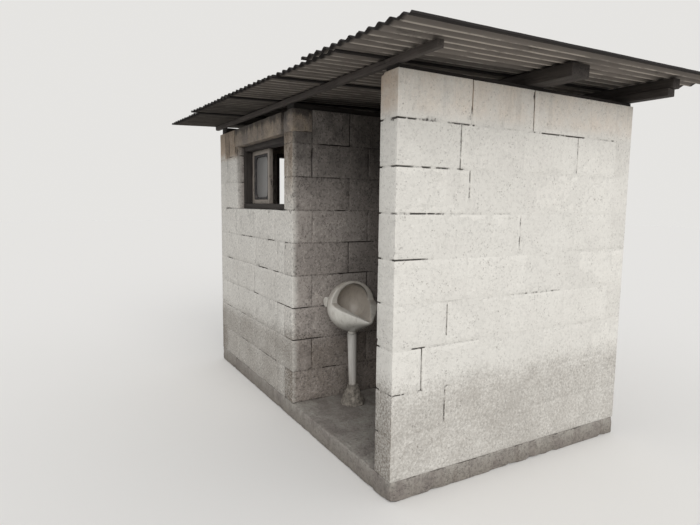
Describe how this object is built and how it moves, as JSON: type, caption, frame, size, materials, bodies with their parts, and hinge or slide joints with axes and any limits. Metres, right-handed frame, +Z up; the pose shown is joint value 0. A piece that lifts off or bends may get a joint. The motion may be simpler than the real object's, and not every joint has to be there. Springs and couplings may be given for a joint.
{
  "type": "concrete block outhouse",
  "caption": "Small whitewashed concrete block outhouse with an open urinal bay, a closed cabin and a low corrugated cement sheet roof.",
  "frame": {"origin": "middle of the underside of the base slab, on the ground", "axes": "+Z up; -Y is the front, with the open bay and the window; +X runs along the front towards the bay's free side wall"},
  "size_m": [3.2685, 2.3086, 2.0729],
  "materials": {
    "slab_concrete": "rough cast concrete, stained by soil",
    "whitewashed_block": "thin old whitewash over rough concrete block",
    "bare_block": "bare rough concrete block with open mortar joints",
    "cast_lintel": "stained cast concrete",
    "dark_timber": "dark weathered softwood",
    "window_timber": "dark weathered softwood",
    "sash_paint": "pale worn paint",
    "pane_bead": "dull dark bead",
    "frosted_pane": "dusty frosted glass",
    "cement_sheet": "old grey-brown corrugated cement sheet",
    "white_ware": "white glaze, dusty and stained",
    "inlet_fitting": "white moulded fitting",
    "drain_plastic": "pale grey plastic pipe",
    "collar_mortar": "hand-placed rough mortar"
  },
  "bodies": {
    "root": {"base_slab": "slab_concrete", "side_wall": "whitewashed_block", "partition_wall": "bare_block", "rear_wall": "whitewashed_block", "front_wall_below_window": "whitewashed_block", "front_wall_pier": "whitewashed_block", "window_lintel": "cast_lintel", "end_wall_front_pier": "whitewashed_block", "end_wall_rear_pier": "whitewashed_block", "door_lintel": "cast_lintel", "window_head": "window_timber", "window_sill": "window_timber", "window_jamb_left": "window_timber", "window_jamb_right": "window_timber", "window_sash": "sash_paint", "window_bead": "pane_bead", "window_pane": "frosted_pane", "door_lining_front": "window_timber", "door_lining_rear": "window_timber", "door_lining_head": "window_timber", "side_wall_plate": "dark_timber", "partition_wall_plate": "dark_timber", "end_wall_plate": "dark_timber", "front_batten": "dark_timber", "middle_beam": "dark_timber", "rear_beam_lower": "dark_timber", "rear_beam_upper": "dark_timber", "roof_sheet_1": "cement_sheet", "roof_sheet_2": "cement_sheet", "roof_sheet_3": "cement_sheet", "roof_sheet_4": "cement_sheet", "roof_sheet_5": "cement_sheet", "urinal_bowl": "white_ware", "urinal_inlet": "inlet_fitting", "urinal_drain_pipe": "drain_plastic", "pipe_collar": "collar_mortar"}
  },
  "joints": []
}
